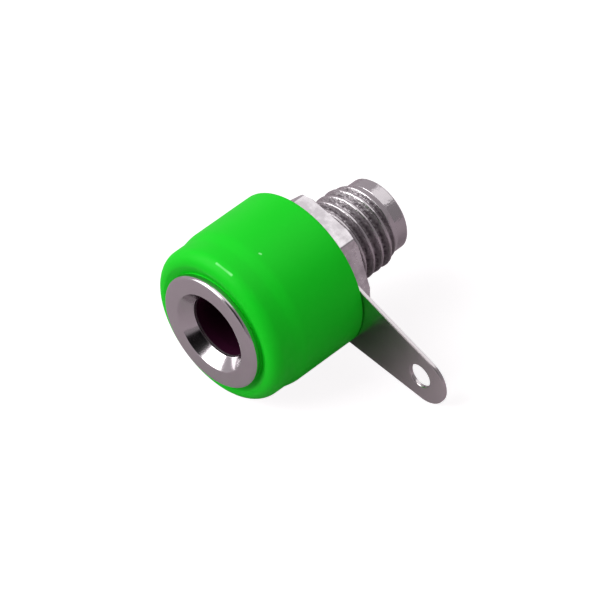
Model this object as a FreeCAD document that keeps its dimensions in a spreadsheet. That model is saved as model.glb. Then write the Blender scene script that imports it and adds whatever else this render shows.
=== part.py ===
import FreeCAD, Part
import math
import os
import Sketcher

# Insulated panel socket for a 4 mm plug, the female kind of binding post.
# A turned brass barrel carries a moulded head. A solder tag and a hexagon nut go on its threaded shank.
# The origin is the centre of the head's back face, which seats on a panel.
# The socket's axis is Y. The mouth looks towards -Y and the shank points towards +Y.
# The post lies on its side as it would on a bench, on the head and on the tip of the tag, with +Z up.

SIZES = [
    ("flange_diameter", 8.0, "barrel: flange round the mouth"),
    ("flange_thickness", 0.5, "barrel: flange, front to back"),
    ("flange_edge_radius", 0.15, "barrel: rounding of the flange's front edge"),
    ("mouth_diameter", 5.6, "barrel: countersink at the front"),
    ("mouth_edge_radius", 0.12, "barrel: rounding between front face and countersink"),
    ("mouth_depth", 0.8, "barrel: countersink, front to back"),
    ("guide_diameter", 4.3, "barrel: where the countersink meets the guide cone"),
    ("guide_depth", 1.6, "barrel: where the guide cone ends, from the front"),
    ("bore_diameter", 4.1, "barrel: bore for a 4 mm plug"),
    ("neck_diameter", 6.2, "barrel: neck that the head is moulded round"),
    ("thread_diameter", 5.86, "barrel: crest of the M6 x 0.75 thread"),
    ("thread_pitch", 0.75, "barrel: advance of the thread in one turn"),
    ("thread_depth", 0.43, "barrel: crest to root"),
    ("thread_flank_angle", 30, "barrel: slope of a thread flank, in degrees"),
    ("thread_recess", 0.5, "barrel: how far the thread starts inside the head"),
    ("shank_reach", 7.05, "barrel: shank behind the head"),
    ("pilot_diameter", 5.1, "barrel: plain end of the shank"),
    ("pilot_length", 0.95, "barrel: plain end, along the axis"),
    ("thread_taper_length", 0.9, "barrel: taper of the last turns down to the plain end"),
    ("shank_end_chamfer", 0.12, "barrel: chamfer at the end of the shank"),
    ("bore_end_chamfer", 0.1, "barrel: chamfer where the bore comes out of the shank"),
    ("head_diameter", 11.0, "head: outside"),
    ("head_length", 7.5, "head: front face to back face"),
    ("band_step", 0.15, "head: how far the front band is set in, on the radius"),
    ("band_length", 2.2, "head: front band, along the axis"),
    ("head_front_radius", 0.9, "head: rounding of the front edge"),
    ("head_back_radius", 0.12, "head: rounding of the back edge"),
    ("tag_thickness", 0.25, "tag: sheet"),
    ("tag_ring_diameter", 8.6, "tag: ring round the shank"),
    ("tag_reach", 10.85, "tag: axis to the centre of the round tip"),
    ("tag_tip_radius", 1.8, "tag: round tip"),
    ("tag_root_width", 6.4, "tag: width of the tongue at the axis"),
    ("tag_root_fillet", 1.2, "tag: rounding where the tongue leaves the ring"),
    ("wire_hole_diameter", 1.65, "tag: hole for the wire"),
    ("wire_hole_reach", 10.55, "tag: axis to the hole for the wire"),
    ("tag_clearance", 0.05, "tag: gap round the thread, on the radius"),
    ("nut_across_flats", 7.8, "nut: spanner size"),
    ("nut_thickness", 1.7, "nut: front to back"),
    ("nut_corner_drop", 0.2, "nut: how far the chamfer lowers each corner, along the axis"),
    ("nut_chamfer_angle", 30, "nut: chamfer of the corners, in degrees"),
    ("nut_bore_chamfer", 0.25, "nut: chamfer at both ends of the bore"),
    ("nut_clearance", 0.03, "nut: gap round the thread, on the radius"),
    ("nut_turn", 41, "nut: where a corner stands, in degrees up from +X"),
]

doc = FreeCAD.newDocument("panel_socket")
sheet = doc.addObject("Spreadsheet::Sheet", "Sizes")
for row, (alias, value, note) in enumerate(SIZES, start=1):
    sheet.set(f"A{row}", alias)
    sheet.set(f"B{row}", str(value))
    sheet.setAlias(f"B{row}", alias)
    sheet.set(f"C{row}", note)
doc.recompute()


def size(alias):
    """Plain number of one cell of the sheet."""
    return float(sheet.get(alias))


# Helpers for sketches and edges


def new_body(label):
    body = doc.addObject("PartDesign::Body", label)
    body.Label = label
    return body


def new_sketch(body, name, role):
    """Sketch on one of the body's own origin planes."""
    sketch = body.newObject("Sketcher::SketchObject", name)
    plane = next(feature for feature in body.Origin.OriginFeatures if feature.Role == role)
    sketch.AttachmentSupport = [(plane, "")]
    sketch.MapMode = "FlatFace"
    return sketch


def bind(sketch, kind, name, formula, *places):
    """Add one dimension to a sketch and tie it to a formula of the sheet's sizes."""
    number = sketch.addConstraint(Sketcher.Constraint(kind, *places, 1.0))
    sketch.renameConstraint(number, name)
    sketch.setExpression(f"Constraints.{name}", formula)


def draw_outline(sketch, corners):
    """Closed outline of straight edges. Each corner is a pair of formulas, one for each coordinate."""
    count = len(corners)
    step = 2 * math.pi / count
    rough = [FreeCAD.Vector(math.cos(step * i), math.sin(step * i), 0) for i in range(count)]
    for i in range(count):
        sketch.addGeometry(Part.LineSegment(rough[i], rough[(i + 1) % count]), False)
    for i in range(count):
        sketch.addConstraint(Sketcher.Constraint("Coincident", i, 2, (i + 1) % count, 1))
    for i, (across, along) in enumerate(corners):
        bind(sketch, "DistanceX", f"across_{i}", across, i, 1)
        bind(sketch, "DistanceY", f"along_{i}", along, i, 1)


def draw_circle(sketch, diameter, across="0"):
    """Circle on the sketch's horizontal axis, at a formula for its distance from the middle."""
    number = sketch.addGeometry(Part.Circle(FreeCAD.Vector(0.5, 0, 0), FreeCAD.Vector(0, 0, 1), 1), False)
    sketch.addConstraint(Sketcher.Constraint("PointOnObject", number, 3, -1))
    bind(sketch, "DistanceX", f"middle_{number}", across, number, 3)
    bind(sketch, "Diameter", f"diameter_{number}", diameter, number)


def revolve(body, name, sketch, cut=False):
    """Turn a sketch of the XY plane once round the socket's axis."""
    feature = body.newObject("PartDesign::Groove" if cut else "PartDesign::Revolution", name)
    feature.Profile = sketch
    feature.ReferenceAxis = (sketch, ["V_Axis"])
    feature.Angle = 360
    doc.recompute()
    return feature


def pad_backwards(body, name, sketch, length):
    """Thicken a sketch of the XZ plane towards +Y."""
    pad = body.newObject("PartDesign::Pad", name)
    pad.Profile = sketch
    pad.setExpression("Length", length)
    pad.Reversed = True
    doc.recompute()
    return pad


def pocket_through(body, name, sketch):
    """Cut a sketch of the XZ plane right through the body."""
    pocket = body.newObject("PartDesign::Pocket", name)
    pocket.Profile = sketch
    pocket.Type = "ThroughAll"
    pocket.Midplane = True
    doc.recompute()
    return pocket


def ring_edges(feature, diameter, level):
    """Names of the round edges of this diameter whose centre is at this level on the axis."""
    tolerance = 1e-4
    names = []
    for number, edge in enumerate(feature.Shape.Edges, start=1):
        if not isinstance(edge.Curve, Part.Circle):
            continue
        same_size = abs(2 * edge.Curve.Radius - diameter) < tolerance
        same_place = abs(edge.Curve.Center.y - level) < tolerance
        if same_size and same_place:
            names.append(f"Edge{number}")
    return names


def dress(body, kind, name, base, edges, dimension, formula):
    """Fillet or chamfer the named edges of the feature below it."""
    feature = body.newObject(f"PartDesign::{kind}", name)
    feature.Base = (base, edges)
    feature.setExpression(dimension, formula)
    doc.recompute()
    return feature


def turn_body(body, degrees):
    """Turn a finished piece about the socket's axis, up from +X by a formula in degrees."""
    body.Placement = FreeCAD.Placement(FreeCAD.Vector(), FreeCAD.Rotation(FreeCAD.Vector(0, -1, 0), 1))
    body.setExpression("Placement.Rotation.Angle", degrees)
    doc.recompute()


# Places along the axis that more than one piece uses

FRONT_OF_HEAD = "-Sizes.head_length"
FRONT_OF_FLANGE = "-Sizes.head_length - Sizes.flange_thickness"
BACK_OF_TAG = "Sizes.tag_thickness"
BACK_OF_NUT = "Sizes.tag_thickness + Sizes.nut_thickness"
BAND_RADIUS = "Sizes.head_diameter / 2 - Sizes.band_step"


def make_barrel():
    """Brass barrel, turned as one piece: flange, countersunk bore, neck and threaded shank."""
    body = new_body("socket_barrel")
    profile = new_sketch(body, "barrel_profile", "XY_Plane")
    start_of_thread = "-Sizes.thread_recess"
    start_of_pilot = "Sizes.shank_reach - Sizes.pilot_length"
    draw_outline(profile, [
        ("Sizes.mouth_diameter / 2", FRONT_OF_FLANGE),
        ("Sizes.flange_diameter / 2", FRONT_OF_FLANGE),
        ("Sizes.flange_diameter / 2", FRONT_OF_HEAD),
        ("Sizes.neck_diameter / 2", FRONT_OF_HEAD),
        ("Sizes.neck_diameter / 2", start_of_thread),
        ("Sizes.thread_diameter / 2", start_of_thread),
        ("Sizes.thread_diameter / 2", f"{start_of_pilot} - Sizes.thread_taper_length"),
        ("Sizes.pilot_diameter / 2", start_of_pilot),
        ("Sizes.pilot_diameter / 2", "Sizes.shank_reach"),
        ("Sizes.bore_diameter / 2", "Sizes.shank_reach"),
        ("Sizes.bore_diameter / 2", f"{FRONT_OF_FLANGE} + Sizes.guide_depth"),
        ("Sizes.guide_diameter / 2", f"{FRONT_OF_FLANGE} + Sizes.mouth_depth"),
    ])
    turned = revolve(body, "turned_barrel", profile)

    front = -size("head_length") - size("flange_thickness")
    rim = ring_edges(turned, size("flange_diameter"), front)
    rounded_rim = dress(body, "Fillet", "flange_edge", turned, rim, "Radius", "Sizes.flange_edge_radius")
    lip = ring_edges(rounded_rim, size("mouth_diameter"), front)
    rounded_lip = dress(body, "Fillet", "mouth_edge", rounded_rim, lip, "Radius", "Sizes.mouth_edge_radius")
    end = ring_edges(rounded_lip, size("pilot_diameter"), size("shank_reach"))
    outer_end = dress(body, "Chamfer", "shank_end", rounded_lip, end, "Size", "Sizes.shank_end_chamfer")
    way_out = ring_edges(outer_end, size("bore_diameter"), size("shank_reach"))
    dress(body, "Chamfer", "bore_end", outer_end, way_out, "Size", "Sizes.bore_end_chamfer")

    # The tool cuts one groove, from one pitch behind the neck until it runs out on the plain end.
    tool = new_sketch(body, "thread_tool", "XY_Plane")
    overshoot = "Sizes.thread_depth / 2"
    half_mouth = f"(Sizes.thread_depth + {overshoot}) * tan(Sizes.thread_flank_angle * 1 deg)"
    start = "-Sizes.thread_recess + Sizes.thread_pitch"
    draw_outline(tool, [
        ("Sizes.thread_diameter / 2 - Sizes.thread_depth", start),
        (f"Sizes.thread_diameter / 2 + {overshoot}", f"{start} - {half_mouth}"),
        (f"Sizes.thread_diameter / 2 + {overshoot}", f"{start} + {half_mouth}"),
    ])
    thread = body.newObject("PartDesign::SubtractiveHelix", "thread")
    thread.Profile = tool
    thread.ReferenceAxis = (tool, ["V_Axis"])
    thread.Mode = "pitch-height-angle"
    thread.setExpression("Pitch", "Sizes.thread_pitch")
    thread.setExpression("Height", f"{start_of_pilot} - ({start})")
    doc.recompute()
    return body


def make_head():
    """Insulating head, moulded round the neck of the barrel, with a slightly smaller band at the front."""
    body = new_body("insulating_head")
    profile = new_sketch(body, "head_profile", "XY_Plane")
    back_of_band = f"{FRONT_OF_HEAD} + Sizes.band_length"
    draw_outline(profile, [
        ("Sizes.neck_diameter / 2", FRONT_OF_HEAD),
        (BAND_RADIUS, FRONT_OF_HEAD),
        (BAND_RADIUS, back_of_band),
        ("Sizes.head_diameter / 2", back_of_band),
        ("Sizes.head_diameter / 2", "0"),
        ("Sizes.neck_diameter / 2", "0"),
    ])
    moulded = revolve(body, "moulded_head", profile)
    band_diameter = size("head_diameter") - 2 * size("band_step")
    front = ring_edges(moulded, band_diameter, -size("head_length"))
    soft_front = dress(body, "Fillet", "front_edge", moulded, front, "Radius", "Sizes.head_front_radius")
    back = ring_edges(soft_front, size("head_diameter"), 0)
    dress(body, "Fillet", "back_edge", soft_front, back, "Radius", "Sizes.head_back_radius")
    return body


def make_tag():
    """Solder tag, punched from sheet: a ring on the shank and a tongue with a hole for the wire."""
    body = new_body("solder_tag")
    ring = new_sketch(body, "ring_outline", "XZ_Plane")
    draw_circle(ring, "Sizes.tag_ring_diameter")
    pad_backwards(body, "ring", ring, "Sizes.tag_thickness")

    # Each side of the tongue runs from its width at the axis to a tangent on the round tip.
    tongue = new_sketch(body, "tongue_outline", "XZ_Plane")
    top = FreeCAD.Vector(0, 2, 0)
    bottom = FreeCAD.Vector(0, -2, 0)
    tip_top = FreeCAD.Vector(9, 1.5, 0)
    tip_bottom = FreeCAD.Vector(9, -1.5, 0)
    tip_end = FreeCAD.Vector(10.5, 0, 0)
    upper_side = tongue.addGeometry(Part.LineSegment(top, tip_top), False)
    tip = tongue.addGeometry(Part.Arc(tip_bottom, tip_end, tip_top), False)
    lower_side = tongue.addGeometry(Part.LineSegment(tip_bottom, bottom), False)
    root = tongue.addGeometry(Part.LineSegment(bottom, top), False)
    tongue.addConstraint([
        Sketcher.Constraint("Tangent", upper_side, 2, tip, 2),
        Sketcher.Constraint("Tangent", tip, 1, lower_side, 1),
        Sketcher.Constraint("Coincident", lower_side, 2, root, 1),
        Sketcher.Constraint("Coincident", root, 2, upper_side, 1),
        Sketcher.Constraint("PointOnObject", tip, 3, -1),
        Sketcher.Constraint("PointOnObject", root, 1, -2),
        Sketcher.Constraint("Symmetric", root, 1, root, 2, -1),
    ])
    bind(tongue, "DistanceX", "tip_reach", "Sizes.tag_reach", tip, 3)
    bind(tongue, "Radius", "tip_radius", "Sizes.tag_tip_radius", tip)
    bind(tongue, "DistanceY", "root_width", "Sizes.tag_root_width", root, 1, root, 2)
    blank = pad_backwards(body, "tongue", tongue, "Sizes.tag_thickness")

    root_corners = []
    for number, edge in enumerate(blank.Shape.Edges, start=1):
        along_axis = abs(edge.BoundBox.YLength - size("tag_thickness")) < 1e-4
        on_ring = abs(math.hypot(edge.CenterOfMass.x, edge.CenterOfMass.z) - size("tag_ring_diameter") / 2) < 1e-3
        if along_axis and on_ring and edge.BoundBox.XLength < 1e-3 and edge.CenterOfMass.x > 0:
            root_corners.append(f"Edge{number}")
    dress(body, "Fillet", "tongue_root", blank, root_corners, "Radius", "Sizes.tag_root_fillet")

    holes = new_sketch(body, "hole_outlines", "XZ_Plane")
    draw_circle(holes, "Sizes.thread_diameter + 2 * Sizes.tag_clearance")
    draw_circle(holes, "Sizes.wire_hole_diameter", "Sizes.wire_hole_reach")
    pocket_through(body, "holes", holes)
    turn_body(body, "-asin((Sizes.head_diameter / 2 - Sizes.tag_tip_radius) / Sizes.tag_reach)")
    return body


def make_nut():
    """Hexagon nut, chamfered on both faces, that clamps the tag to the head."""
    body = new_body("hex_nut")
    outline = new_sketch(body, "hexagon", "XZ_Plane")
    corner_radius = "Sizes.nut_across_flats / 2 / cos(30 deg)"
    draw_outline(outline, [
        (f"{corner_radius} * cos({60 * i} deg)", f"{corner_radius} * sin({60 * i} deg)")
        for i in range(6)
    ])
    pad_backwards(body, "blank", outline, BACK_OF_NUT)

    # What the lathe takes off: the space before the front face, and a cone from the corners of each face.
    chamfer = new_sketch(body, "corner_chamfers", "XY_Plane")
    outside = "Sizes.nut_across_flats"
    face = f"({corner_radius} - Sizes.nut_corner_drop / tan(Sizes.nut_chamfer_angle * 1 deg))"
    drop = f"({outside} - {face}) * tan(Sizes.nut_chamfer_angle * 1 deg)"
    draw_outline(chamfer, [
        ("0", "-Sizes.tag_thickness"),
        ("0", BACK_OF_TAG),
        (face, BACK_OF_TAG),
        (outside, f"{BACK_OF_TAG} + {drop}"),
        (outside, "-Sizes.tag_thickness"),
    ])
    revolve(body, "front_chamfer", chamfer, cut=True)
    back_chamfer = new_sketch(body, "back_corner_chamfer", "XY_Plane")
    draw_outline(back_chamfer, [
        (face, BACK_OF_NUT),
        (outside, f"{BACK_OF_NUT} - {drop}"),
        (outside, f"{BACK_OF_NUT} + Sizes.tag_thickness"),
        (face, f"{BACK_OF_NUT} + Sizes.tag_thickness"),
    ])
    revolve(body, "back_chamfer", back_chamfer, cut=True)

    hole = new_sketch(body, "hole_outline", "XZ_Plane")
    hole_diameter = "Sizes.thread_diameter + 2 * Sizes.nut_clearance"
    draw_circle(hole, hole_diameter)
    bored = pocket_through(body, "bore", hole)
    diameter = size("thread_diameter") + 2 * size("nut_clearance")
    levels = (size("tag_thickness"), size("tag_thickness") + size("nut_thickness"))
    mouths = [name for level in levels for name in ring_edges(bored, diameter, level)]
    dress(body, "Chamfer", "bore_chamfers", bored, mouths, "Size", "Sizes.nut_bore_chamfer")
    turn_body(body, "Sizes.nut_turn")
    return body


parts = [make_barrel(), make_head(), make_tag(), make_nut()]
doc.recompute()

# Nothing is written unless every object worked out and every piece is one sound solid

for item in doc.Objects:
    if {"Invalid", "Error"} & set(item.State):
        raise RuntimeError(f"{item.Label} failed: {item.State}")
for body in parts:
    if body.Shape.isNull() or not body.Shape.isValid() or len(body.Shape.Solids) != 1:
        raise RuntimeError(f"{body.Label} is not one sound solid")

os.makedirs("parts", exist_ok=True)
for body in parts:
    body.Shape.exportStep(os.path.join("parts", f"{body.Label}.step"))
    print(f"{body.Label}: {body.Shape.Volume:.2f} mm3, {len(body.Shape.Faces)} faces")
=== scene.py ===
# %% [markdown]
# # A green panel socket for a 4 mm plug
# The real object is a turned brass barrel with a moulded green head, a punched solder tag and a hexagon nut.
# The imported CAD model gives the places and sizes. This lesson lays finer surfaces and finishes over it.
# Every surface is worked out in millimetres with numpy and goes into its mesh in metres.

import bpy
import numpy as np
from mathutils import Matrix, Vector


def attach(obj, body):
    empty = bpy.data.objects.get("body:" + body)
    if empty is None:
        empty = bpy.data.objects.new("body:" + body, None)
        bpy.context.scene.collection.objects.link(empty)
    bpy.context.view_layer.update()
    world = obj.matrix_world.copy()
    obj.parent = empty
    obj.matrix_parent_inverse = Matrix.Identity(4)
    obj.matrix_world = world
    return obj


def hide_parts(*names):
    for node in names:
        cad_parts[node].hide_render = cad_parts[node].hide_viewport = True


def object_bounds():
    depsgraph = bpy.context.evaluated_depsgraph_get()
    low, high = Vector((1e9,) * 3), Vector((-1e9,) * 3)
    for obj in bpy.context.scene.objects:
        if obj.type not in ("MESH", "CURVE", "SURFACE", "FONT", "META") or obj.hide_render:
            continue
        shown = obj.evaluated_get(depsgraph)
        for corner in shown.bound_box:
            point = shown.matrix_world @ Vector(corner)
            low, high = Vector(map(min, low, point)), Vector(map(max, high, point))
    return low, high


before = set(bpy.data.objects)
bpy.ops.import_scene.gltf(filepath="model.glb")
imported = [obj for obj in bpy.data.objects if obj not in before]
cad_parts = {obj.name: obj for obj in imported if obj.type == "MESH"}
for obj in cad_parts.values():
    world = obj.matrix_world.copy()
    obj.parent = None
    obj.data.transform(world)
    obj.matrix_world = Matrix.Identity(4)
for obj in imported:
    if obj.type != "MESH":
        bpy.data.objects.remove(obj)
cad_box = [list(corner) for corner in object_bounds()]
print("CAD nodes:", sorted(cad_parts))
print("CAD box in mm:", [[round(1000 * value, 2) for value in corner] for corner in cad_box])

# %% [markdown]
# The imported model's box gives three sizes. The barrel lies along Y, its mouth at the box's low end and the
# end of its shank at the high end. Only the tag reaches past the head, and it does so towards +X.

# %% Sizes from the frame, in mm
MM = 0.001
low_corner, high_corner = np.array(cad_box) / MM
FRONT, SHANK_END = round(low_corner[1], 2), round(high_corner[1], 2)
HEAD_RADIUS = round(-low_corner[0], 2)

# %% [markdown]
# ## Meshes from arrays
# A grid of points becomes a mesh once its neighbours are joined by quads.
# The quads come from index arrays, so no loop runs over the points.
# Every grid here closes on itself both ways, as a ring does: its last line of points joins its first one,
# which leaves no seam and no open edge.

# %% Grid quads and a piece from arrays


def closed_quads(rows, columns):
    """Quads of a grid that closes on itself both ways. Point (i, j) has the number i * columns + j."""
    i, j = np.arange(rows)[:, None], np.arange(columns)[None, :]
    next_i, next_j = (i + 1) % rows, (j + 1) % columns
    corners = [i * columns + j, next_i * columns + j, next_i * columns + next_j, i * columns + next_j]
    return np.stack(np.broadcast_arrays(*corners), axis=-1).reshape(-1, 4)


def make_piece(name, points, quads, body, node, marks=None, sharp_above=None):
    """Object from points in mm and quads. It rides on a body and stands for a CAD node, which it hides.
    marks holds one number for each point under a name, for a material to read. Edges that turn by more than
    sharp_above degrees stay sharp."""
    mesh = bpy.data.meshes.new(name)
    mesh.from_pydata((points.reshape(-1, 3) * MM).tolist(), [], quads.tolist())
    for mark, values in (marks or {}).items():
        attribute = mesh.attributes.new(mark, "FLOAT", "POINT")
        attribute.data.foreach_set("value", np.ravel(values).astype(np.float32))
    mesh.shade_smooth()
    if sharp_above is not None:
        mesh.set_sharp_from_angle(angle=np.radians(sharp_above))
    piece = bpy.data.objects.new(name, mesh)
    bpy.context.scene.collection.objects.link(piece)
    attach(piece, body)
    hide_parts(node)
    low, high = points.reshape(-1, 3).min(0), points.reshape(-1, 3).max(0)
    print(f"{name}: {len(mesh.polygons)} quads, from {low.round(2)} to {high.round(2)} mm")
    return piece


# %% [markdown]
# ## Profiles with rounded corners
# A lathe never leaves a perfectly sharp corner, and light shows it: each small rounding is a bright line.
# So a profile is a list of corners, each with its own radius, and every corner becomes a true arc.
# Long straight runs get more points, so that the thread has something to cut into.

# %% Rounded profile
ARC_POINTS = 11


def rounded_profile(corners, longest):
    """Closed profile through corners (radius from the axis, place along it, rounding), all in mm.
    Each arc weights three points, the middle one by the sine of half the corner's angle, so it is a circle.
    Runs longer than `longest` are divided evenly. It is one length, or one for the run after each corner."""
    corner = np.array([c[:2] for c in corners], float)
    rounding = np.array([c[2] for c in corners], float)
    to_last = np.roll(corner, 1, axis=0) - corner
    to_next = np.roll(corner, -1, axis=0) - corner
    to_last /= np.linalg.norm(to_last, axis=1, keepdims=True)
    to_next /= np.linalg.norm(to_next, axis=1, keepdims=True)
    half_angle = np.arccos((to_last * to_next).sum(1)) / 2
    setback = (rounding / np.tan(half_angle))[:, None]
    start, end = corner + setback * to_last, corner + setback * to_next
    t = np.linspace(0, 1, ARC_POINTS)[None, :, None]
    first, middle, last = (1 - t) ** 2, 2 * t * (1 - t) * np.sin(half_angle)[:, None, None], t**2
    arcs = (first * start[:, None] + middle * corner[:, None] + last * end[:, None]) / (first + middle + last)
    chain = arcs.reshape(-1, 2)
    gap = np.linalg.norm(np.roll(chain, -1, axis=0) - chain, axis=1)
    longest = np.repeat(np.broadcast_to(longest, len(corner)), ARC_POINTS)
    pieces = np.maximum(1, np.ceil(gap / longest)).astype(int)
    number = np.repeat(np.arange(len(chain)), pieces)
    share = (np.arange(len(number)) - np.repeat(np.cumsum(pieces) - pieces, pieces)) / pieces[number]
    return chain[number] + share[:, None] * (np.roll(chain, -1, axis=0)[number] - chain[number])


def lathe_grid(profile, columns):
    """Radius, place along the axis and angle of every point: a row for each profile point, a column for each
    of the evenly spaced angles of one turn."""
    angle = np.linspace(0, 2 * np.pi, columns, endpoint=False)[None, :] + 0 * profile[:, :1]
    return profile[:, :1] + 0 * angle, profile[:, 1:] + 0 * angle, angle


def turned(radius, along, angle):
    """Points of a surface turned round the Y axis: x = radius cos angle, y = along, z = radius sin angle."""
    return np.stack([radius * np.cos(angle), along, radius * np.sin(angle)], axis=-1)


# %% [markdown]
# ## The barrel
# One brass bar is turned into the flange round the mouth, the countersunk bore and the shank.
# Then a die cuts the M6 x 0.75 thread, which fades out on the plain end.
# The barrel is one closed profile turned round the axis. On the shank the radius is the smaller of two
# numbers: the bar's own radius and the radius left by a groove that climbs one pitch in each turn.
# The groove is a V with a narrow flat at its root, and its crests and root are slightly rounded.
# The die tears the brass, so the crests wander by up to 0.03 mm, always inwards.

# %% Barrel sizes
FLANGE_RADIUS, FLANGE_THICKNESS, FLANGE_ROUNDING = 4.00, 0.50, 0.24
FLANGE_BACK = FRONT + FLANGE_THICKNESS
MOUTH_RADIUS, SINK_RADIUS, SINK_END = 2.80, 2.15, -7.20
BORE_RADIUS, GUIDE_END, END_CHAMFER = 2.05, -6.40, 0.10
NECK_RADIUS, PLAIN_RADIUS, PLAIN_CHAMFER = 3.10, 2.55, 0.12
THREAD_START, TAPER_START, TAPER_END = -0.50, 5.20, 6.10

PITCH, CREST, ROOT = 0.75, 2.93, 2.50
FLANK, ROOT_FLAT, GROOVE_ROUNDING = np.radians(30), 0.12, 0.03
GROOVE_START, GROOVE_END, GROOVE_FADE = 0.25, 6.05, 0.30

# Wander: its most, and the radius from which it grows over a ramp. The plain end lies below that radius.
WANDER, WANDER_FROM, WANDER_RAMP = 0.032, 2.60, 0.30
# Waves round the shank are whole numbers, so that they close. Waves along it are radians in a millimetre.
SLOW_ROUND, SLOW_ALONG = 5, 3.1
QUICK_ROUND, QUICK_ALONG, BEAT_ROUND = 23, 11, 9

# This radius parts the bar's outside from its bore. The groove acts from just behind the neck's end on, and
# the painted shade of the bore ends just inside both mouths.
BETWEEN_WALLS, SHANK_FROM = 2.40, THREAD_START + 0.05
BORE_SHADE_FROM, BORE_SHADE_TO = SINK_END + 0.03, SHANK_END - 0.07
BARREL_COLUMNS, SHANK_STEP, PLAIN_STEP = 208, 0.036, 0.25

# %% Barrel
barrel_corners = [
    (MOUTH_RADIUS, FRONT, 0.12), (FLANGE_RADIUS, FRONT, FLANGE_ROUNDING), (FLANGE_RADIUS, FLANGE_BACK, 0.05),
    (NECK_RADIUS, FLANGE_BACK, 0.02), (NECK_RADIUS, THREAD_START, 0.02), (CREST, THREAD_START, 0.02),
    (CREST, TAPER_START, 0.10), (PLAIN_RADIUS, TAPER_END, 0.10),
    (PLAIN_RADIUS, SHANK_END - PLAIN_CHAMFER, 0.04), (PLAIN_RADIUS - PLAIN_CHAMFER, SHANK_END, 0.04),
    (BORE_RADIUS + END_CHAMFER, SHANK_END, 0.02), (BORE_RADIUS, SHANK_END - END_CHAMFER, 0.02),
    (BORE_RADIUS, GUIDE_END, 0.30), (SINK_RADIUS, SINK_END, 0.04),
]


def v_groove(along, angle):
    """Radius left by a right-handed groove: the root, and beside its flat the distance from the flat over
    tan(flank). The groove's middle moves one pitch towards the mouth while the angle goes once round, from X
    to Z. Outside its two ends the groove rises out of the bar within GROOVE_FADE."""
    from_middle = (along - GROOVE_START + PITCH * angle / (2 * np.pi) + PITCH / 2) % PITCH - PITCH / 2
    from_flat = np.abs(from_middle) - ROOT_FLAT / 2
    depth_left = (from_flat + np.hypot(from_flat, GROOVE_ROUNDING)) / 2 / np.tan(FLANK)
    outside = np.maximum(np.maximum(GROOVE_START - along, along - GROOVE_END), 0)
    return ROOT + depth_left + outside / GROOVE_FADE * (CREST - ROOT)


def smaller(a, b, softness):
    """The smaller of two numbers, with the change from one to the other rounded off: half of a + b less the
    hypotenuse of a - b and the softness."""
    return (a + b - np.hypot(a - b, softness)) / 2


on_shank_run = np.isin([radius for radius, _, _ in barrel_corners], (CREST, PLAIN_RADIUS))
profile = rounded_profile(barrel_corners, np.where(on_shank_run, SHANK_STEP, PLAIN_STEP))
bar, along, angle = lathe_grid(profile, BARREL_COLUMNS)
on_shank = (bar > BETWEEN_WALLS) & (along > SHANK_FROM)
slow_wave = np.sin(SLOW_ROUND * angle + SLOW_ALONG * along)
quick_wave = np.sin(QUICK_ROUND * angle - QUICK_ALONG * along) * np.sin(BEAT_ROUND * angle)
tear = (2 - slow_wave - quick_wave) / 4
torn_bar = bar - WANDER * tear * np.clip((bar - WANDER_FROM) / WANDER_RAMP, 0, 1)
cut = np.where(on_shank, smaller(torn_bar, v_groove(along, angle), GROOVE_ROUNDING), bar)
barrel = make_piece(
    "plated_barrel", turned(cut, along, angle), closed_quads(*cut.shape),
    "socket", "socket_barrel",
    marks={
        "groove_depth": np.clip((bar - cut) / (CREST - ROOT), 0, 1),
        "in_bore": (bar < BETWEEN_WALLS) & (along > BORE_SHADE_FROM) & (along < BORE_SHADE_TO),
    },
)

# %% [markdown]
# ## The head
# Green plastic is moulded round the barrel's neck. Its front band is a little smaller than the rest,
# because two parts of the mould meet there, and the front edge has a large rounding.
# Polishing the mould has worn the step between band and body down to a soft ramp, so it hardly shows.
# Beside the flange the front face dips by 0.16 mm. The dip drops under the flange's rim, where it is hidden,
# and rises on one gentle slope. With the flange's shadow it makes one soft dark ring.
# It is a turned profile too. The real moulding isn't perfectly round: it shrinks as it cools,
# so the radius gets a slow wave of a hundredth of a millimetre, always inwards.

# %% Head
BAND_RADIUS, BAND_END, BODY_START, STEP_ROUNDING = HEAD_RADIUS - 0.15, -5.75, -4.95, 2.00
FRONT_ROUNDING, BACK_ROUNDING = 0.82, 0.15
DIP, DIP_DROP, DIP_BOTTOM, DIP_END, DIP_ROUNDING = 0.16, 3.90, 3.94, 4.47, 0.35
HEAD_BACK = 0.0
# Waves: three round the head, with a twist in radians a millimetre. They grow from a radius over a ramp.
SHRINK, SHRINK_FROM, SHRINK_RAMP = 0.012, 4.6, 0.6
SHRINK_ROUND, SHRINK_TWIST = 3, 0.8
HEAD_COLUMNS, HEAD_STEP = 256, 0.12

head_corners = [
    (NECK_RADIUS, FLANGE_BACK, 0.02), (DIP_DROP, FLANGE_BACK, 0.02), (DIP_BOTTOM, FLANGE_BACK + DIP, 0.02),
    (DIP_END, FLANGE_BACK, DIP_ROUNDING), (BAND_RADIUS, FLANGE_BACK, FRONT_ROUNDING),
    (BAND_RADIUS, BAND_END, STEP_ROUNDING), (HEAD_RADIUS, BODY_START, STEP_ROUNDING),
    (HEAD_RADIUS, HEAD_BACK, BACK_ROUNDING), (NECK_RADIUS, HEAD_BACK, 0.02),
]
radius, along, angle = lathe_grid(rounded_profile(head_corners, HEAD_STEP), HEAD_COLUMNS)
wave = 0.5 - 0.5 * np.cos(SHRINK_ROUND * angle + SHRINK_TWIST * along)
sunk = SHRINK * wave * np.clip((radius - SHRINK_FROM) / SHRINK_RAMP, 0, 1)
head = make_piece(
    "moulded_head", turned(radius - sunk, along, angle), closed_quads(*radius.shape),
    "socket", "insulating_head",
)

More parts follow.
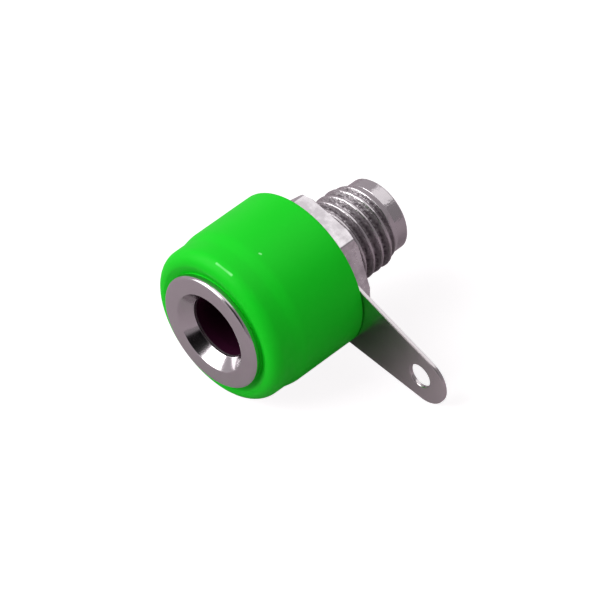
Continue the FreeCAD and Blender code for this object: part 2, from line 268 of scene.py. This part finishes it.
# %% [markdown]
# ## The solder tag
# The tag is punched from 0.25 mm tinned sheet: a ring for the shank and a tongue with a hole for the wire.
# The tongue's side is a straight line that touches the round tip, and a fillet joins it to the ring.
# The outline is worked out from those tangents, in the plane of the sheet, with the tongue along x.
# Every point also carries the direction that faces outwards there, which the rounded edge needs later.
# The tongue points down until its tip lies on the table, as low as the head.

# %% Outline of the tag
TAG_THICKNESS, RING_RADIUS, HOLE_RADIUS = 0.25, 4.30, 2.98
TIP_REACH, TIP_RADIUS, HALF_ROOT = 10.85, 1.80, 3.20
WIRE_REACH, WIRE_RADIUS, ROOT_FILLET = 10.55, 0.825, 1.20
TAG_TILT = -np.arcsin((HEAD_RADIUS - TIP_RADIUS) / TIP_REACH)
# The sheet is cut in two across the tongue, between its two holes, for the fans below.
CUT_AT = 8.2
RING_POINTS, FILLET_POINTS, TIP_POINTS, CUT_POINTS = 150, 14, 61, 25
NEAR_SIDE_POINTS, FAR_SIDE_POINTS = 24, 20


def line(start, end, outward, count):
    """Evenly spaced points from start to end, each with the same outward direction."""
    t = np.linspace(0, 1, count)[:, None]
    return np.hstack([start + t * (end - start), np.tile(outward, (count, 1))])


def arc(centre, radius, start, end, count, hollow=False):
    """Points on a circle from one angle to another. They face outwards, or towards its centre if hollow."""
    turn = np.linspace(start, end, count)
    ray = np.stack([np.cos(turn), np.sin(turn)], axis=-1)
    return np.hstack([centre + radius * ray, -ray if hollow else ray])


def mirrored(rows):
    """The same stretch below the tongue's middle line, in the opposite order."""
    return rows[::-1] * np.array([1, -1, 1, -1])


# The side starts at (0, HALF_ROOT). Its lean is the tip's direction plus the angle that the tip's radius
# fills.
side_lean = np.arctan2(-HALF_ROOT, TIP_REACH) + np.arcsin(TIP_RADIUS / np.hypot(TIP_REACH, HALF_ROOT))
side_along = np.array([np.cos(side_lean), np.sin(side_lean)])
side_out = np.array([-side_along[1], side_along[0]])
side_offset = HALF_ROOT * side_out[1]
# The fillet's centre is one fillet radius outside the ring and one outside the side.
fillet_reach = np.sqrt((RING_RADIUS + ROOT_FILLET) ** 2 - (side_offset + ROOT_FILLET) ** 2)
fillet_centre = (side_offset + ROOT_FILLET) * side_out + fillet_reach * side_along
ring_end = np.arctan2(fillet_centre[1], fillet_centre[0])
side_angle = np.arctan2(side_out[1], side_out[0])

tip_centre = np.array([TIP_REACH, 0.0])
cut_half_width = (side_offset - CUT_AT * side_out[0]) / side_out[1]
cut_end = np.array([CUT_AT, cut_half_width])
ring = arc(np.zeros(2), RING_RADIUS, ring_end, 2 * np.pi - ring_end, RING_POINTS)
bend = arc(fillet_centre, ROOT_FILLET, np.pi + side_angle, np.pi + ring_end, FILLET_POINTS, hollow=True)
near_side = line(cut_end, side_offset * side_out + fillet_reach * side_along, side_out, NEAR_SIDE_POINTS)
far_side = line(tip_centre + TIP_RADIUS * side_out, cut_end, side_out, FAR_SIDE_POINTS)
tip = arc(tip_centre, TIP_RADIUS, -side_angle, side_angle, TIP_POINTS)
cut_line = line(cut_end * [1, -1], cut_end, np.zeros(2), CUT_POINTS)[1:-1]
print(f"tongue: {2 * cut_half_width:.2f} mm wide at the cut, sides lean {np.degrees(-side_lean):.1f} degrees")

# %% [markdown]
# A plate with two holes isn't a simple grid, so it is made of two fans that meet on a straight cut.
# One fan spreads from the ring's hole and the other from the wire hole, each to its own half of the outline.
# A punch pulls the sheet's edge down on one side, so the edge is rounded in front and sharper at the back.
# Each spoke of a fan is a closed loop: over the front, round the outer edge, over the back, through the hole.
# On the cut the two fans meet inside the plate, so the rows that would run through the sheet there are left
# out, and points in the same place become one.

# %% Two fans for the tag
ROLL_OVER, BURR = 0.08, 0.02
EDGE_POINTS, RING_SPOKE, WIRE_SPOKE = 6, 8, 6


def at_level(flat, level):
    """Points (x, z) of the sheet at a level along the axis, as (x, y, z)."""
    return np.concatenate([flat[..., :1], level + 0 * flat[..., :1], flat[..., 1:]], axis=-1)


def rounded_edge(border, outward, size, level, inwards):
    """Quarter circle from a flat face to the edge: in by size (1 - sin), through the sheet by size (1 - cos).
    inwards is 1 or -1, the way along the axis that leads into the sheet."""
    turn = np.linspace(0, np.pi / 2, EDGE_POINTS)[:, None, None]
    flat = border - size * (1 - np.sin(turn)) * outward
    return at_level(flat, level + inwards * size * (1 - np.cos(turn)))


def face(start, end, level, count):
    """Rows of points across a flat face, without its two border rows."""
    t = np.linspace(0, 1, count + 2)[1:-1, None, None]
    return at_level(start + t * (end - start), level)


def fan(outline, centre, hole_radius, spoke_points):
    """Points and quads of the plate between a round hole and an outline."""
    border, outward = outline[:, :2], outline[:, 2:]
    ray = border - centre
    ray /= np.linalg.norm(ray, axis=1, keepdims=True)
    hole = centre + hole_radius * ray
    points = np.concatenate([
        rounded_edge(hole, -ray, ROLL_OVER, 0.0, 1)[::-1],
        face(hole + ROLL_OVER * ray, border - ROLL_OVER * outward, 0.0, spoke_points),
        rounded_edge(border, outward, ROLL_OVER, 0.0, 1),
        rounded_edge(border, outward, BURR, TAG_THICKNESS, -1)[::-1],
        face(border - BURR * outward, hole + BURR * ray, TAG_THICKNESS, spoke_points),
        rounded_edge(hole, -ray, BURR, TAG_THICKNESS, -1),
    ])
    rows, columns = points.shape[:2]
    quads = closed_quads(rows, columns)
    row, column = np.divmod(np.arange(len(quads)), columns)
    inside = ~outward.any(axis=1)
    on_cut = inside[column] | np.roll(inside, -1)[column]
    edge_start = EDGE_POINTS + spoke_points
    in_edge = (row >= edge_start) & (row < edge_start + 2 * EDGE_POINTS - 1)
    return points.reshape(-1, 3), quads[~(on_cut & in_edge)]


def joined(points, quads):
    """Points in the same place, to 5 decimals of a mm, become one. Points that no quad uses are dropped."""
    _, keep, number = np.unique(points.round(5), axis=0, return_index=True, return_inverse=True)
    used, quad_number = np.unique(number.reshape(-1)[quads], return_inverse=True)
    return points[keep[used]], quad_number.reshape(quads.shape)


ring_outline = np.concatenate([
    cut_line, near_side, bend[1:-1], ring, mirrored(bend)[1:-1], mirrored(near_side),
])
wire_outline = np.concatenate([mirrored(far_side), tip[1:-1], far_side, cut_line[::-1]])
ring_points, ring_quads = fan(ring_outline, np.zeros(2), HOLE_RADIUS, RING_SPOKE)
wire_points, wire_quads = fan(wire_outline, np.array([WIRE_REACH, 0.0]), WIRE_RADIUS, WIRE_SPOKE)
sheet, tag_quads = joined(
    np.concatenate([ring_points, wire_points]), np.concatenate([ring_quads, wire_quads + len(ring_points)])
)
lengthwise, level, crosswise = sheet.T
tag_points = np.stack([
    lengthwise * np.cos(TAG_TILT) - crosswise * np.sin(TAG_TILT), level,
    lengthwise * np.sin(TAG_TILT) + crosswise * np.cos(TAG_TILT),
], axis=-1)
tag = make_piece(
    "punched_tag", tag_points, tag_quads, "tag", "solder_tag",
    marks={"lengthwise_mm": lengthwise, "crosswise_mm": crosswise}, sharp_above=50,
)

# %% [markdown]
# ## The nut
# The nut is cut from hexagon bar. A lathe then takes a 30 degree cone off the corners of both faces,
# and a tumbling barrel breaks every edge by a few hundredths of a millimetre.
# One closed loop of rows goes over the front face, along the flats, over the back face and through the bore.
# The rows on the flats follow the curved line where the cone left them.

# %% Nut
NUT_FRONT, NUT_BACK, NUT_TURN = 0.25, 1.95, np.radians(41)
HALF_FLATS, CORNER_ROUNDING, EDGE_BREAK = 3.90, 0.20, 0.05
CORNER_DROP, CHAMFER = 0.20, np.radians(30)
NUT_BORE, NUT_BORE_CHAMFER = 2.96, 0.25
SIDES, COLUMNS_PER_FLAT = 6, 48
HALF_SIDE = np.pi / SIDES


def hexagon(angle):
    """Distance from the axis to a hexagon with rounded corners, by the angle from the middle of a flat.
    On the flat it is a / cos(angle). Near a corner it is the far side of a small circle inside the corner."""
    from_flat = (angle + HALF_SIDE) % (2 * HALF_SIDE) - HALF_SIDE
    from_corner = HALF_SIDE - np.abs(from_flat)
    centre = (HALF_FLATS - CORNER_ROUNDING) / np.cos(HALF_SIDE)
    half_chord = np.sqrt(np.maximum(CORNER_ROUNDING**2 - (centre * np.sin(from_corner)) ** 2, 0))
    touch = np.arctan((1 - CORNER_ROUNDING / HALF_FLATS) * np.tan(HALF_SIDE))
    rounded = centre * np.cos(from_corner) + half_chord
    return np.where(np.abs(from_flat) < touch, HALF_FLATS / np.cos(from_flat), rounded)


# The columns crowd towards the corners, where the rounding is.
in_flat = HALF_SIDE * np.sin(np.pi / 2 * np.linspace(-1, 1, COLUMNS_PER_FLAT, endpoint=False))
angle = (np.arange(SIDES)[:, None] * 2 * np.pi / SIDES + in_flat).reshape(1, -1)
outer = hexagon(angle)
face_radius = HALF_FLATS / np.cos(HALF_SIDE) - CORNER_DROP / np.tan(CHAMFER)
cone_drop = np.maximum(outer - face_radius, 0) * np.tan(CHAMFER) + EDGE_BREAK
face_edge = np.minimum(outer - EDGE_BREAK, face_radius)
bore_edge = NUT_BORE + NUT_BORE_CHAMFER

# Each stop is (radius, place along the axis, rows from there to the next stop).
stops = [
    (bore_edge, NUT_FRONT, 8), (face_edge, NUT_FRONT, 4),
    (outer, NUT_FRONT + cone_drop, 14), (outer, NUT_BACK - cone_drop, 4),
    (face_edge, NUT_BACK, 8), (bore_edge, NUT_BACK, 6),
    (NUT_BORE, NUT_BACK - NUT_BORE_CHAMFER, 30), (NUT_BORE, NUT_FRONT + NUT_BORE_CHAMFER, 6),
]
radius, along = [], []
for stop, after in zip(stops, stops[1:] + stops[:1]):
    t = np.linspace(0, 1, stop[2], endpoint=False)[:, None]
    radius.append(stop[0] + t * (after[0] - stop[0]) + 0 * angle)
    along.append(stop[1] + t * (after[1] - stop[1]) + 0 * angle)
radius, along = np.concatenate(radius), np.concatenate(along)
nut = make_piece(
    "hexagon_nut", turned(radius, along, angle + NUT_TURN - HALF_SIDE), closed_quads(*radius.shape),
    "nut", "hex_nut", sharp_above=24,
)

# %% [markdown]
# ## Materials
# Each finish starts from a real material. Colours are sRGB, as a colour picker shows them, and one function
# turns them to the linear numbers that a shader needs. One small function adds a node with its links, and
# the others name the nodes that come back in every finish.
# Pattern sizes are real ones in millimetres. Object coordinates are in metres, so a scale is one over a size.

# %% Node helpers


def linear(hex_colour):
    """Linear colour from an sRGB hex value: the lower part is a straight line and the rest a power of 2.4."""
    value = np.array([int(hex_colour[i:i + 2], 16) for i in (1, 3, 5)]) / 255
    return (*np.where(value <= 0.04045, value / 12.92, ((value + 0.055) / 1.055) ** 2.4), 1.0)


def add_node(tree, kind, inputs=None, **settings):
    """Add a node. Settings are its own properties. Inputs, by name or number, are values or sockets."""
    node = tree.nodes.new(kind)
    for name, value in settings.items():
        setattr(node, name, value)
    for name, value in (inputs or {}).items():
        if isinstance(value, bpy.types.NodeSocket):
            tree.links.new(value, node.inputs[name])
        else:
            node.inputs[name].default_value = value
    return node


def object_place(tree):
    """Place on the object, in metres from its origin."""
    return add_node(tree, "ShaderNodeTexCoord").outputs["Object"]


def read_mark(tree, name):
    """The number that each point of the mesh carries under a name."""
    return add_node(tree, "ShaderNodeAttribute", attribute_name=name).outputs["Fac"]


def per_mm(size):
    """Texture scale for a feature of this size in mm, on coordinates in metres."""
    return 1 / (size * MM)


def noise(tree, place, scale, detail):
    """Smooth random number from 0 to 1. Detail is how many finer layers lie on the first one."""
    inputs = {"Vector": place, "Scale": scale, "Detail": detail}
    return add_node(tree, "ShaderNodeTexNoise", inputs).outputs["Fac"]


def number_math(tree, operation, first, second):
    """Number from two others."""
    return add_node(tree, "ShaderNodeMath", {0: first, 1: second}, operation=operation).outputs["Value"]


def vector_math(tree, operation, first, second):
    """Outputs of an operation on two vectors: Vector, or Value where the result is a number."""
    return add_node(tree, "ShaderNodeVectorMath", {0: first, 1: second}, operation=operation).outputs


def map_range(tree, value, from_range, to_range):
    """Number stretched from one range (low, high) to another, and held at its ends."""
    return add_node(tree, "ShaderNodeMapRange", {
        "Value": value, "From Min": from_range[0], "From Max": from_range[1],
        "To Min": to_range[0], "To Max": to_range[1],
    }).outputs["Result"]


def mix_colours(tree, factor, first, second):
    """Colour between two others. Each is a hex value or a socket."""
    ends = [linear(end) if isinstance(end, str) else end for end in (first, second)]
    inputs = {"Factor": factor, "A": ends[0], "B": ends[1]}
    return add_node(tree, "ShaderNodeMix", inputs, data_type="RGBA").outputs["Result"]


def bump(tree, height, depth, strength=1.0, under=None):
    """Normal of a surface with a pattern of this depth in mm on it, over another normal if one is given."""
    inputs = {"Height": height, "Distance": depth * MM, "Strength": strength}
    if under is not None:
        inputs["Normal"] = under
    return add_node(tree, "ShaderNodeBump", inputs).outputs["Normal"]


def new_finish(mesh, name):
    """Give a mesh a material of this name. Its tree of nodes comes back empty."""
    material = bpy.data.materials.new(name)
    material.use_nodes = True
    material.node_tree.nodes.clear()
    mesh.materials.append(material)
    return material.node_tree


def surface(tree, **inputs):
    """Principled surface joined to the output. Inputs have their names, with _ for each space."""
    shader = add_node(tree, "ShaderNodeBsdfPrincipled", {k.replace("_", " "): v for k, v in inputs.items()})
    add_node(tree, "ShaderNodeOutputMaterial", {"Surface": shader.outputs["BSDF"]})


# %% [markdown]
# ### Nickel plate on turned brass
# The plate is a nearly neutral grey, and the rose in it comes from the room and the table that it mirrors.
# It is smooth where the turning tool left it smooth.
# In the thread the die has torn the brass, so the grain there is rough, and the grooves are painted darker
# with their depth: painted shade.
# The torn grain is drawn at 0.18 mm, coarser than the real one, which would be under a pixel.
# Dents of 0.3 mm towards the end of the shank make the edges of its reflections waver.
# Inside the bore the wall is painted nearly black: painted shade of the deep, narrow hole.

# %% Barrel finish
DENTS_FROM, DENTS_FULL = 4.5 * MM, 5.8 * MM

tree = new_finish(barrel.data, "nickel_on_turned_brass")
place = object_place(tree)
depth, bore = read_mark(tree, "groove_depth"), read_mark(tree, "in_bore")
smudge = noise(tree, place, per_mm(1.6), 4.0)
torn = noise(tree, place, per_mm(0.18), 3.0)

tint = mix_colours(tree, smudge, "#BEB9BC", "#CCC8CA")
# Painted shade: the grooves darken towards their root, to #3C2C39, broken up by specks of the torn grain.
groove_shade = map_range(tree, depth, (0.05, 0.7), (0.0, 0.60))
specks = map_range(tree, torn, (0.36, 0.62), (1.30, 0.55))
groove_shaded = mix_colours(tree, number_math(tree, "MULTIPLY", groove_shade, specks), tint, "#3C2C39")
# Painted shade: the bore's wall is painted a nearly black purple, #401530.
colour = mix_colours(tree, bore, groove_shaded, "#401530")

smooth_rough = map_range(tree, smudge, (0.3, 0.7), (0.13, 0.20))
torn_rough = map_range(tree, depth, (0.05, 0.5), (0.0, 0.22))
bore_rough = map_range(tree, bore, (0.0, 1.0), (0.0, 0.60))
rough = number_math(tree, "ADD", number_math(tree, "ADD", smooth_rough, torn_rough), bore_rough)

along_axis = add_node(tree, "ShaderNodeSeparateXYZ", {"Vector": place}).outputs["Y"]
dented = map_range(tree, along_axis, (DENTS_FROM, DENTS_FULL), (0.0, 1.0))
dents = bump(tree, noise(tree, place, per_mm(0.30), 3.0), 0.03, dented)
torn_strength = map_range(tree, depth, (0.0, 0.4), (0.003, 1.0))
normal = bump(tree, torn, 0.06, torn_strength, dents)
surface(tree, Base_Color=colour, Metallic=1.0, Roughness=rough, Normal=normal)

# %% [markdown]
# ### Moulded green plastic
# The head is a thermoplastic such as polypropylene, coloured right through.
# The mould gives it an even, rather dull skin. Its reflections stay weak, so the green stays deep.
# Slow waves of a few millimetres come from shrinking, and a fine grain of 0.2 mm from the mould's steel.
# A short line on the front rounding and a small spot behind it are painted pale green: painted highlights.

# %% Head finish
# Ends of the painted highlight line and of the painted highlight spot, in mm.
HIGHLIGHT_LINE = ((0.55, -7.02, 5.19), (1.80, -7.02, 4.92))
HIGHLIGHT_SPOT = ((1.90, -4.68, 5.16), (1.98, -4.64, 5.13))
HIGHLIGHT_LINE_REACH, HIGHLIGHT_SPOT_REACH = 0.11, 0.09
FULL_SHARE = 0.3


def near_line(tree, place, ends, reach):
    """Mask round a line between two ends, all in mm: 0 beyond the reach, and 1 within FULL_SHARE of it.
    The nearest place on the line is start plus a share of the run. The share is the dot product with the run
    over the run's square, held between 0 and 1."""
    start, end = np.array(ends) * MM
    run = end - start
    offset = vector_math(tree, "SUBTRACT", place, start)["Vector"]
    share = vector_math(tree, "DOT_PRODUCT", offset, run / (run @ run))["Value"]
    held = map_range(tree, share, (0.0, 1.0), (0.0, 1.0))
    nearest = vector_math(tree, "MULTIPLY", run, held)["Vector"]
    distance = vector_math(tree, "DISTANCE", offset, nearest)["Value"]
    return map_range(tree, distance, (reach * MM, FULL_SHARE * reach * MM), (0.0, 1.0))


tree = new_finish(head.data, "moulded_green_polypropylene")
place = object_place(tree)
cloud = noise(tree, place, per_mm(4.0), 3.0)
grain = noise(tree, place, per_mm(0.20), 2.0)
highlight_line = near_line(tree, place, HIGHLIGHT_LINE, HIGHLIGHT_LINE_REACH)
highlight_spot = near_line(tree, place, HIGHLIGHT_SPOT, HIGHLIGHT_SPOT_REACH)
green = mix_colours(tree, cloud, "#0AC81A", "#10D220")
# Painted highlights: the pale green #86F58C along the line and on the spot.
green_and_highlights = mix_colours(tree, number_math(tree, "MAXIMUM", highlight_line, highlight_spot), green, "#86F58C")
rough = map_range(tree, cloud, (0.3, 0.7), (0.42, 0.52))
normal = bump(tree, grain, 0.002, under=bump(tree, cloud, 0.04))
surface(tree, Base_Color=green_and_highlights, Roughness=rough, IOR=1.49, Specular_IOR_Level=0.15, Normal=normal)

# %% [markdown]
# ### Tinned sheet
# Tin is a satin grey. Rolling stretched the sheet along the tongue, so its grain is long streaks:
# noise on coordinates that change slowly along the tongue and fast across it.

# %% Tag finish
STREAKS_ALONG, STREAKS_ACROSS = 0.4, 8.0

tree = new_finish(tag.data, "tinned_brass_sheet")
slow = number_math(tree, "MULTIPLY", read_mark(tree, "lengthwise_mm"), STREAKS_ALONG)
fast = number_math(tree, "MULTIPLY", read_mark(tree, "crosswise_mm"), STREAKS_ACROSS)
rolled = add_node(tree, "ShaderNodeCombineXYZ", {"X": slow, "Y": fast}).outputs["Vector"]
streak = noise(tree, rolled, 1.0, 3.0)
blotch = noise(tree, object_place(tree), per_mm(1.2), 4.0)
tone = mix_colours(tree, blotch, "#C6C1C2", "#D4D0D1")
rough = map_range(tree, blotch, (0.3, 0.7), (0.18, 0.25))
surface(tree, Base_Color=tone, Metallic=1.0, Roughness=rough, Normal=bump(tree, streak, 0.0015))

# %% [markdown]
# ### Nickel plate on milled brass
# The nut's plate is brighter than the barrel's, over the small dents that a spanner and the tumbling leave.

# %% Nut finish
tree = new_finish(nut.data, "nickel_on_milled_brass")
place = object_place(tree)
patch = noise(tree, place, per_mm(0.7), 5.0)
dent = noise(tree, place, per_mm(0.3), 3.0)
patch_tone = map_range(tree, patch, (0.38, 0.62), (0.0, 1.0))
tone = mix_colours(tree, patch_tone, "#BFBBBE", "#E2DFE1")
rough = map_range(tree, patch, (0.3, 0.7), (0.20, 0.30))
surface(tree, Base_Color=tone, Metallic=1.0, Roughness=rough, Normal=bump(tree, dent, 0.004))

# %% [markdown]
# ## Floor, light and room
# Metal shows its surroundings more than its own colour, so the surroundings matter as much as the finish.
# In the photograph the metal mirrors a mid-grey table, and yet the ground round the object is white.
# So there are two floors, almost in the same place. The camera sees the white one, which glows a little so
# that its shadows stay pale. Bounced light and reflections see only the grey one, a hair above it, which
# casts no shadow on it.

# %% Two floors
FLOOR_LEVEL = cad_box[0][2]
FLOOR_GAP, FLOOR_HALF = 0.02 * MM, 1500 * MM
FLOOR_GLOW, FLOOR_ROUGHNESS = 0.83, 0.9


def make_floor(name, level):
    """Square floor of 3 m at a level, and its material's tree to fill in."""
    mesh = bpy.data.meshes.new(name)
    corners = FLOOR_HALF * np.array([[-1, -1], [1, -1], [1, 1], [-1, 1]])
    mesh.from_pydata([(x, y, level) for x, y in corners], [], [(0, 1, 2, 3)])
    plane = bpy.data.objects.new(name, mesh)
    bpy.context.scene.collection.objects.link(plane)
    return plane, new_finish(mesh, name)


white_floor, tree = make_floor("white_acrylic", FLOOR_LEVEL - FLOOR_GAP)
surface(tree, Base_Color=linear("#BEBEBD"), Roughness=FLOOR_ROUGHNESS,
        Emission_Color=linear("#FFFFFF"), Emission_Strength=FLOOR_GLOW)
white_floor.visible_diffuse = white_floor.visible_glossy = False
table, tree = make_floor("grey_table", FLOOR_LEVEL)
surface(tree, Base_Color=linear("#A69BA1"), Roughness=FLOOR_ROUGHNESS)
table.visible_camera = table.visible_shadow = False

# %% [markdown]
# The metal also tells where the lights stood, because each shiny normal mirrors one direction.
# A strong box to the front left makes the white patch in the countersink and brightens the head's left.
# A second one, above and behind, is mirrored in the nut's white flat. On the shank's plain end its edge is a
# sharp line.
# The green is lighter low on the right than the metal explains, so a small light there fills it in. It stands
# for a card, and no surface mirrors it.
# The room is lighter on the left than on the right. It is dark round the camera, most of all to its left.

# %% Soft boxes and room


def soft_box(name, centre, sideways, width, height, brightness):
    """Area light with its centre at a place in metres. It faces the object, with its width along `sideways`.
    Its power is pi times its brightness times its area."""
    light = bpy.data.lights.new(name, "AREA")
    light.shape, light.size, light.size_y = "RECTANGLE", width, height
    light.energy = np.pi * brightness * width * height
    lamp = bpy.data.objects.new(name, light)
    bpy.context.scene.collection.objects.link(lamp)
    back = Vector(centre).normalized()
    side = (Vector(sideways) - back * back.dot(Vector(sideways))).normalized()
    axes = Matrix((side, back.cross(side), back)).transposed().to_4x4()
    lamp.matrix_world = Matrix.Translation(Vector(centre)) @ axes
    lamp.visible_camera = False
    print(f"{name}: {light.energy:.4f} W")
    return lamp


soft_box("front_left_box", centre=(-0.19, -0.27, 0.31), sideways=(0.82, -0.57, 0.0),
         width=0.40, height=0.42, brightness=3.8)
soft_box("overhead_box", centre=(0.05, 0.14, 0.43), sideways=(1.0, 0.0, 0.0),
         width=0.42, height=0.58, brightness=0.80)
right_card = soft_box("right_card", centre=(0.045, -0.045, 0.0), sideways=(0.7, 0.7, 0.0),
                      width=0.05, height=0.03, brightness=1.4)
right_card.visible_glossy = False

LEFT_WALL, RIGHT_WALL, WALL_EDGE = 0.58, 0.32, 0.6
# The dark patch is round this direction. The dot product with it is DARK_EDGE at the patch's edge, and from
# DARK_FULL on the room keeps only DARK_SHARE of its brightness.
DARK_TOWARDS = (0.45, -0.75, 0.48)
DARK_EDGE, DARK_FULL, DARK_SHARE = 0.905, 0.93, 0.015

world = bpy.data.worlds.new("room")
bpy.context.scene.world = world
world.use_nodes = True
tree = world.node_tree
tree.nodes.clear()
direction = add_node(tree, "ShaderNodeTexCoord").outputs["Generated"]
sideways = add_node(tree, "ShaderNodeSeparateXYZ", {"Vector": direction}).outputs["X"]
walls = map_range(tree, sideways, (-WALL_EDGE, WALL_EDGE), (LEFT_WALL, RIGHT_WALL))
towards_dark = vector_math(tree, "DOT_PRODUCT", direction, DARK_TOWARDS)["Value"]
unshaded = map_range(tree, towards_dark, (DARK_EDGE, DARK_FULL), (1.0, DARK_SHARE))
brightness = number_math(tree, "MULTIPLY", walls, unshaded)
seen = add_node(tree, "ShaderNodeLightPath").outputs["Is Camera Ray"]
strength = number_math(tree, "MAXIMUM", brightness, seen)
hue = mix_colours(tree, seen, "#FBF2F8", "#FFFFFF")
glow = add_node(tree, "ShaderNodeBackground", {"Color": hue, "Strength": strength})
add_node(tree, "ShaderNodeOutputWorld", {"Surface": glow.outputs["Background"]})

# %% [markdown]
# The camera is a long lens, 300 mm from the mouth. Its three axes were found by fitting the ring of the
# mouth and the line of the shank in the photograph. The view transform stays plain, so that the green keeps
# its depth.

# %% Camera
RIGHT = Vector((0.7016, 0.7050, -0.1048))
UP = Vector((-0.3904, 0.5030, 0.7713))
BACK = Vector((0.5965, -0.5000, 0.6281))
LENS_MM, SENSOR_MM = 292.5, 36.0
DISTANCE, SHIFT_RIGHT, SHIFT_UP = 300.0, 5.575, 2.068
NEAREST, FURTHEST = 10 * MM, 10000 * MM

camera = bpy.data.objects.new("camera", bpy.data.cameras.new("camera"))
bpy.context.scene.collection.objects.link(camera)
camera.data.lens, camera.data.sensor_width = LENS_MM, SENSOR_MM
camera.data.clip_start, camera.data.clip_end = NEAREST, FURTHEST
mouth = Vector((0, FRONT, 0))
eye = (mouth + SHIFT_RIGHT * RIGHT + SHIFT_UP * UP + DISTANCE * BACK) * MM
axes = Matrix((RIGHT, UP, BACK)).transposed().to_4x4()
camera.matrix_world = Matrix.Translation(eye) @ axes
bpy.context.scene.camera = camera
bpy.context.scene.view_settings.view_transform = "Standard"
bpy.context.scene.view_settings.look = "None"
print("camera at", [round(value / MM, 1) for value in eye], "mm")
